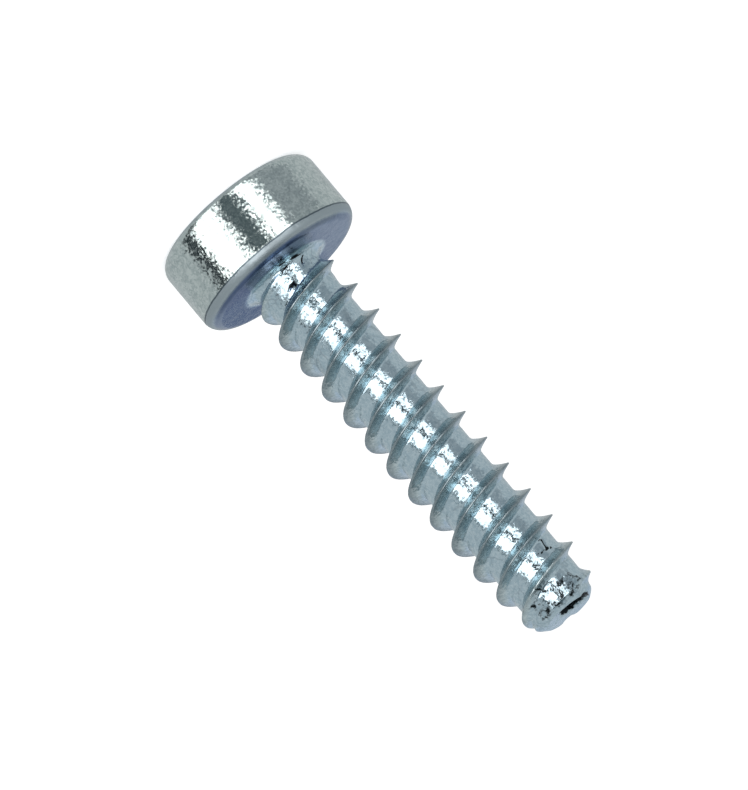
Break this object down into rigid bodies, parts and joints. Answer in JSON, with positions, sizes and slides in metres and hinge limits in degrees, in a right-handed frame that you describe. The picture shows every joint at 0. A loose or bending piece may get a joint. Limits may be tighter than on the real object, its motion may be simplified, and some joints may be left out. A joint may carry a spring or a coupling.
{
  "type": "six-lobe screw",
  "caption": "Zinc-plated steel screw with a tall cylindrical head, a lobed socket, a coarse steep thread that runs up to the head and a blunt end.",
  "frame": {"origin": "centre of the head's flat drive face, on which the screw stands", "axes": "+Z along the screw's axis, from the head towards the tip"},
  "size_m": [0.0104, 0.0104, 0.0297],
  "materials": {
    "zinc_plated_steel": "bright zinc plate with a thin clear-blue passivation"
  },
  "bodies": {
    "root": {"screw": "zinc_plated_steel"}
  },
  "joints": []
}
